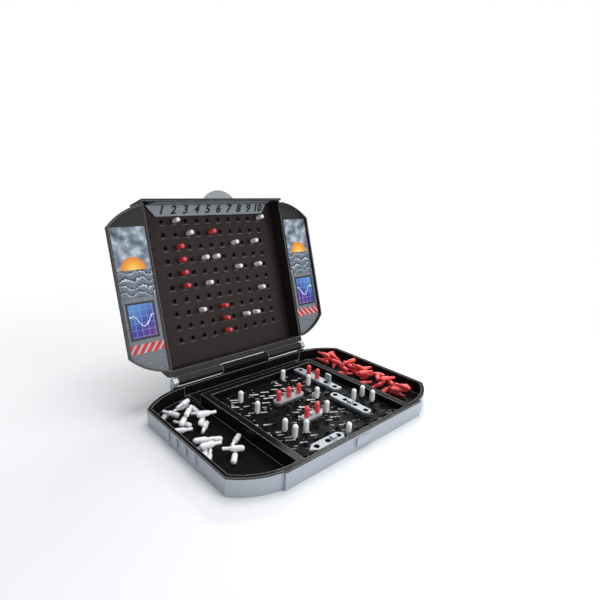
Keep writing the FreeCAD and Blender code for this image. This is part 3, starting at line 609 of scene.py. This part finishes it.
# %% Plate flange
def flange(half, taper, d, near, far, thick):
    """A flat strip under the top wall: a rectangle in d and z with a round front edge, carried along x.

    Its ends are drawn in by taper from the board to the front edge.
    """
    bend = np.linspace(0, np.pi, 7)
    front_d, front_z = d - thick / 2 - thick / 2 * np.cos(bend), near + thick / 2 * np.sin(bend)
    ring_d = np.concatenate([front_d, [d, d - thick]])
    ring_z = np.concatenate([front_z, [far, far]])
    reach = half - taper * (ring_z - far) / (near - far)
    along = np.array([-1.0, -1.0, 1.0, 1.0])[:, None] * reach
    fill = np.array([0.02, 1.0, 1.0, 0.02])[:, None]
    middle_d, middle_z = d - thick / 2, (near + far) / 2
    points = on_lid(along, middle_d + fill * (ring_d - middle_d), middle_z + fill * (ring_z - middle_z))
    return points, grid_faces(4, len(ring_d), wrap=True)


plate_high = 1000 * np.array(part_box("number_plate")[1])
points, faces = flange(half=plate_high[0] - 0.2, taper=5.0, d=175.2, near=-1.2, far=1.9 - RECESS, thick=0.6)
new_piece("plate_flange", points, faces, plate_grey, "lid")
print("plate flange:", len(faces), "quads,", round(2 * plate_high[0], 1), "mm wide")

# %% [markdown]
# ## Numbers and letters
# The columns are numbered on the grey plate at the top, and the rows are lettered in the black board itself.
# Text becomes a mesh before it gets its place, so each character is turned and moved as plain points.

# %% Characters
def characters(name, places, size, bold, slant, raise_by, material):
    """Every character of places (text, point) as one mesh: glyph x goes along +X, glyph y up the lid."""
    depsgraph = bpy.context.evaluated_depsgraph_get()
    points, faces, count = [], [], 0
    for text, spot in places:
        curve = bpy.data.curves.new("glyph", "FONT")
        curve.body = text
        curve.size = size
        curve.extrude = raise_by / 2
        curve.offset = bold
        curve.shear = slant
        curve.resolution_u = 3
        curve.align_x = "CENTER"
        curve.align_y = "CENTER"
        glyph = bpy.data.objects.new("glyph", curve)
        bpy.context.scene.collection.objects.link(glyph)
        depsgraph.update()
        mesh = bpy.data.meshes.new_from_object(glyph.evaluated_get(depsgraph))
        flat = np.zeros(len(mesh.vertices) * 3)
        mesh.vertices.foreach_get("co", flat)
        flat = flat.reshape(-1, 3)
        along = np.stack([np.array([1.0, 0.0, 0.0]), lid_up, lid_out])
        points.append(spot + MM * (flat + [0, 0, raise_by / 2]) @ along)
        corners = np.zeros(len(mesh.loops), dtype=np.int32)
        mesh.loops.foreach_get("vertex_index", corners)
        starts = np.zeros(len(mesh.polygons), dtype=np.int32)
        mesh.polygons.foreach_get("loop_start", starts)
        faces += [face.tolist() for face in np.split(corners + count, starts[1:])]
        count += len(flat)
        bpy.data.objects.remove(glyph)
        bpy.data.curves.remove(curve)
        bpy.data.meshes.remove(mesh)
    new_piece(name, np.concatenate(points), faces, material, "lid", smooth=False)
    print(name, "has", len(places), "characters and", count, "points")


PLATE_FACE = 1.8 - RECESS
NUMBERS_D, LETTERS_X = 169.4, -73.0
numbers = [(str(n + 1), on_lid(columns[n], NUMBERS_D, PLATE_FACE)) for n in range(GRID)]
characters("column_numbers", numbers, size=12.0, bold=0.3, slant=0.45, raise_by=0.4, material=ink_and_shade)
rows = TARGET_FIRST + np.arange(GRID)[::-1] * TARGET_PITCH
letters = [(letter, on_lid(LETTERS_X, d, -RECESS - COLLAR_HEIGHT)) for letter, d in zip("ABCDEFGHIJ", rows)]
characters("row_letters", letters, size=8.0, bold=0.0, slant=0.0, raise_by=0.45, material=board_black)

# %% [markdown]
# ## The printed labels
# A film label covers each wing plate and follows the wing's rounded foot. Its print is a plain design of its
# own: a cloudy sky with half a sun on the horizon, rolling waves, and a grey panel with a sea chart on a
# screen over a strip of slanted red stripes. The UV map holds millimetres over 100, so the print can be laid
# out with a ruler.

# %% Label print
def label_print():
    """Layers of colour, each blended in where its mask is 1.

    In mm, p runs out from the block and q up from the hinge.
    """
    finish = Finish("label_film", (0.4, 0.43, 0.47), 0.32, Specular_IOR_Level=0.15)
    spot = finish.node("ShaderNodeTexCoord", output="UV")
    p, q = (side * 100 for side in finish.split(spot)[:2])
    sea_foot, horizon = 86, 112
    sun_p, sun_radius = 17, 12
    left, right, foot, head, border = 5, 29, 49, 80, 2
    stripes_foot, stripes_head = 34.5, 43

    def band(value, low, high):
        return (value > low) * (value < high)

    def noise(scale, detail=4.0):
        return finish.node("ShaderNodeTexNoise", None, {"Vector": spot, "Scale": scale, "Detail": detail})

    def ramp(amount, *stops):
        return finish.node("ShaderNodeValToRGB", {"stops": stops}, {0: amount})

    # A cloudy grey-blue sky all over
    clouds = noise(9.0, 6.0)
    streak = noise(40.0)
    color = ramp(clouds, (0.34, (0.06, 0.08, 0.11)), (0.5, (0.2, 0.25, 0.31)), (0.66, (0.55, 0.6, 0.65)))
    # Half a sun on the horizon: shine is 1 at its middle and 0 at its rim
    far = (p - sun_p) * (p - sun_p) + (q - horizon) * (q - horizon)
    shine = 1.0 - far.root() / sun_radius
    color = finish.blend(shine > 0, color, ramp(
        shine, (0.0, (0.72, 0.2, 0.02)), (0.5, (0.82, 0.4, 0.05)), (1.0, (0.9, 0.66, 0.16))))
    # Rolling waves below it, with pale crests
    sea = q < horizon
    swell = q + 1.6 * (p * 0.38).sine() + 14 * clouds + 3 * streak
    color = finish.blend(sea, color, (0.13, 0.165, 0.21))
    for width, shade in ((2.6, (0.05, 0.065, 0.085)), (0.7, (0.6, 0.64, 0.68))):
        color = finish.blend(sea * ((swell % 6.5) < width), color, shade)
    # A grey panel with a sea chart on a dark screen
    panel = ramp(streak, (0.3, (0.12, 0.135, 0.155)), (0.7, (0.2, 0.22, 0.245)))
    color = finish.blend(q < sea_foot, color, panel)
    surround = band(p, left - border, right + border) * band(q, foot - border, head + border)
    color = finish.blend(surround, color, (0.02, 0.022, 0.028))
    screen = band(p, left, right) * band(q, foot, head)
    color = finish.blend(screen, color, ramp((q - foot + 0.6 * p) / 48, (0.0, (0.16, 0.02, 0.2)),
                                             (0.45, (0.03, 0.035, 0.3)), (1.0, (0.1, 0.3, 0.62))))
    lines = 1.0 - (1.0 - ((p % 6.0) < 0.5)) * (1.0 - ((q % 6.2) < 0.5))
    color = finish.blend(screen * lines * 0.5, color, (0.35, 0.45, 0.75))
    coast = abs(q - (foot + head) / 2 - 5 * (p * 0.3).sine() - 8 * (streak - 0.5)) < 0.7
    color = finish.blend(screen * coast, color, (0.75, 0.8, 0.9))
    # Slanted red stripes under it
    slant = ((p + q * 0.8) % 7.0) < 4.4
    strip = band(q, stripes_foot, stripes_head)
    color = finish.blend(strip, color, (0.42, 0.45, 0.48))
    color = finish.blend(strip * slant, color, (0.55, 0.03, 0.03))
    finish.set("Base Color", color)
    finish.set("Roughness", 0.3 + 0.15 * streak)
    return finish.material


print("label print ready")

# %% Label sheets
WING_RADIUS, WING_X, WING_Y, LID_MIDDLE = 62.0, 76.0, 19.5, 92.0
LABEL_IN, LABEL_OUT, LABEL_EDGE, LABEL_HIGH, LABEL_THICK = 86.8, 120.6, 1.9, 151.93, 0.3


def label_sheet(hand):
    """Rows up the label, columns across: the foot is the wing arc drawn in, the top is straight.

    Two more rows and columns bend the rim down to the plate. hand is 1 right, -1 left.
    """
    across = np.linspace(LABEL_IN, LABEL_OUT, 25)
    foot = LID_MIDDLE - WING_Y - np.sqrt((WING_RADIUS - LABEL_EDGE) ** 2 - (across - WING_X) ** 2)
    share = np.linspace(0, 1, 31)[:, None]
    d = foot + share * (LABEL_HIGH - foot)
    x = np.broadcast_to(across, d.shape)
    x, d = np.pad(x, 1, mode="edge"), np.pad(d, 1, mode="edge")
    z = np.zeros(d.shape)
    z[1:-1, 1:-1] = LABEL_THICK
    uv = np.stack([(x - LABEL_IN) / 100, d / 100], axis=-1)
    faces = grid_faces(*d.shape)
    return on_lid(hand * x, d, z), faces if hand > 0 else faces[:, ::-1], uv


film = label_print()
for hand, side in ((-1, "left"), (1, "right")):
    points, faces, uv = label_sheet(hand)
    new_piece(f"{side}_label_film", points, faces, film, "lid", [f"{side}_label"], uv=uv)
print("labels:", len(faces), "quads each")

# %% [markdown]
# ## Studio
# A plain pale floor, a large soft light above, a strip behind that draws the edges, one light at the front
# and a faint one at the left. Round the case the floor keeps the shadow, and further out it runs into the
# white background.

# %% Floor
HAZE_NEAR, HAZE_FAR = 0.2, 0.6
floor_mesh = bpy.data.meshes.new("floor")
floor_mesh.from_pydata([(-6, -6, 0), (6, -6, 0), (6, 6, 0), (-6, 6, 0)], [], [(0, 1, 2, 3)])
floor = bpy.data.objects.new("floor", floor_mesh)
bpy.context.scene.collection.objects.link(floor)
paper = Finish("floor_paper", (0.86, 0.86, 0.87), 0.7)
rays = paper.node("ShaderNodeLightPath", output="Is Camera Ray")
away = paper.node("ShaderNodeVectorMath", {"operation": "LENGTH"}, {0: paper.place()}, output="Value")
haze = paper.node("ShaderNodeMapRange", {"interpolation_type": "SMOOTHSTEP"},
                  {"Value": away, "From Min": HAZE_NEAR, "From Max": HAZE_FAR})
glow = paper.node("ShaderNodeEmission", None, {"Color": (1.0, 1.0, 1.0), "Strength": 1.0})
ground = paper.node("ShaderNodeMixShader", None, {0: rays * haze, 1: paper.surface, 2: glow})
paper.feed(paper.output.inputs[0], ground)
floor_mesh.materials.append(paper.material)
floor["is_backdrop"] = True
print("floor ready")


# %% Lights
AIM = Vector((0, 0, 0.05))


def softbox(name, place, width, height, watts):
    """A rectangular area light at place that looks at the middle of the case."""
    data = bpy.data.lights.new(name, "AREA")
    data.shape = "RECTANGLE"
    data.size, data.size_y, data.energy = width, height, watts
    lamp = bpy.data.objects.new(name, data)
    lamp.location = place
    lamp.rotation_euler = (AIM - Vector(place)).to_track_quat("-Z", "Y").to_euler()
    bpy.context.scene.collection.objects.link(lamp)


softbox("above", (0.25, 0.15, 1.15), 0.9, 0.9, 10)
softbox("behind", (0.85, 0.62, 0.75), 0.7, 0.1, 5)
softbox("front", (0.45, -1.1, 0.45), 1.0, 0.6, 9)
softbox("left", (-1.0, -0.2, 0.5), 0.6, 0.6, 1)

world = bpy.data.worlds.new("studio")
bpy.context.scene.world = world
world.use_nodes = True
sky = Net(world.node_tree)
kinds = ("Camera", "Glossy", "Transmission")
seen = sum(sky.node("ShaderNodeLightPath", output=f"Is {kind} Ray") for kind in kinds)
lighting = sky.node("ShaderNodeBackground", None, {0: (0.9, 0.95, 1.0), 1: 0.3})
backdrop = sky.node("ShaderNodeBackground", None, {0: (1.0, 1.0, 1.0), 1: 1.0})
both = sky.node("ShaderNodeMixShader", None, {0: seen, 1: lighting, 2: backdrop})
sky.node("ShaderNodeOutputWorld", None, {0: both})
print("studio ready")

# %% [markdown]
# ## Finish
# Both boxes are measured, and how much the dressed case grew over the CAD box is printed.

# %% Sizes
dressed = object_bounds()
growth = (dressed[1] - dressed[0]) - (cad_box[1] - cad_box[0])
print("box grew by mm", [round(1000 * side, 2) for side in growth])
